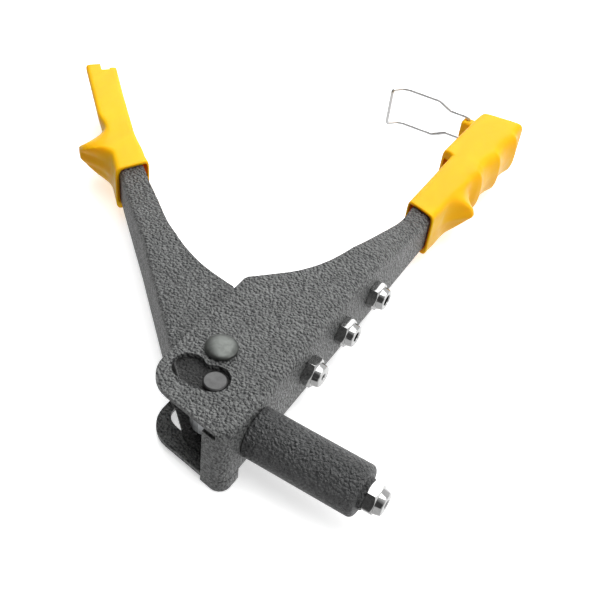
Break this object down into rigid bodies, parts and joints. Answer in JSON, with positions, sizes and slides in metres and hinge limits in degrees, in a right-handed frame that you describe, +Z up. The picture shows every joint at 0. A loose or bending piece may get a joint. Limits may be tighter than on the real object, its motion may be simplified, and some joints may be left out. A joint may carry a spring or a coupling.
{
  "type": "hand riveter",
  "caption": "Single-hand lever riveter: a pressed-steel body with a barrel and nosepiece, a pivoting handle, plastic grips and a wire latch.",
  "frame": {"origin": "middle of the whole tool's bounding box, on the plane it lies on", "axes": "+X along the barrel towards the nose, +Y along the fixed handle away from the barrel, +Z up through the tool's thickness"},
  "size_m": [0.252, 0.2586, 0.0374],
  "materials": {
    "body_coat": "dark grey wrinkle powder coat",
    "handle_coat": "dark grey wrinkle powder coat",
    "barrel_coat": "black wrinkle powder coat",
    "rivet_steel": "satin grey steel",
    "pin_steel": "ground steel",
    "zinc_steel": "zinc plated",
    "nose_chrome": "bright plated",
    "case_steel": "turned steel",
    "jaw_steel": "hardened steel",
    "rod_steel": "turned steel",
    "spring_steel": "drawn spring wire",
    "wire_steel": "bright drawn wire",
    "grip_yellow": "satin moulded plastic"
  },
  "bodies": {
    "frame": {"body_frame": "body_coat", "barrel": "barrel_coat", "barrel_nut": "zinc_steel", "spring_washer": "zinc_steel", "nosepiece": "nose_chrome", "spare_nosepiece_1": "nose_chrome", "spare_nosepiece_2": "nose_chrome", "spare_nosepiece_3": "nose_chrome", "pivot_rivet": "rivet_steel", "pivot_spacer": "zinc_steel", "fixed_grip": "grip_yellow", "return_spring": "spring_steel"},
    "handle": {"moving_handle": "handle_coat", "moving_grip": "grip_yellow", "pull_pin": "pin_steel", "pin_spacer_upper": "zinc_steel", "pin_spacer_lower": "zinc_steel"},
    "case": {"jaw_case": "case_steel", "lock_nut": "zinc_steel", "pull_rod": "rod_steel", "jaw_spring": "spring_steel"},
    "pusher": {"jaw_pusher": "jaw_steel"},
    "first_jaw": {"jaw_1": "jaw_steel"},
    "second_jaw": {"jaw_2": "jaw_steel"},
    "third_jaw": {"jaw_3": "jaw_steel"},
    "latch": {"wire_latch": "wire_steel"}
  },
  "joints": [
    {"name": "handle_hinge", "type": "hinge", "parent": "frame", "child": "handle", "pos_m": [0.04587, -0.09614, 0.0187], "axis": [0, 0, -1], "range_deg": [0, 42], "stiffness_Nm_per_rad": 0.8},
    {"name": "case_slide", "type": "slide", "parent": "frame", "child": "case", "axis": [-1, 0, 0], "range_m": [0, 0.0111], "deforming": ["return_spring"]},
    {"name": "pusher_slide", "type": "slide", "parent": "case", "child": "pusher", "axis": [1, 0, 0], "range_m": [0, 0.0015], "deforming": ["jaw_spring"]},
    {"name": "first_jaw_slide", "type": "slide", "parent": "case", "child": "first_jaw", "axis": [0.9823, 0, -0.1871], "range_m": [0, 0.0015]},
    {"name": "second_jaw_slide", "type": "slide", "parent": "case", "child": "second_jaw", "axis": [0.9823, 0.162, 0.0936], "range_m": [0, 0.0015]},
    {"name": "third_jaw_slide", "type": "slide", "parent": "case", "child": "third_jaw", "axis": [0.9823, -0.162, 0.0936], "range_m": [0, 0.0015]},
    {"name": "latch_hinge", "type": "hinge", "parent": "frame", "child": "latch", "pos_m": [0.05127, 0.12326, 0.0187], "axis": [0, 0, 1], "range_deg": [-80, 10]}
  ],
  "couplings": [
    {"joint": "case_slide", "follows": "handle_hinge", "m_per_rad": 0.015},
    {"joint": "pusher_slide", "follows": "handle_hinge", "m_per_rad": 0.00204},
    {"joint": "first_jaw_slide", "follows": "handle_hinge", "m_per_rad": 0.00204},
    {"joint": "second_jaw_slide", "follows": "handle_hinge", "m_per_rad": 0.00204},
    {"joint": "third_jaw_slide", "follows": "handle_hinge", "m_per_rad": 0.00204}
  ]
}
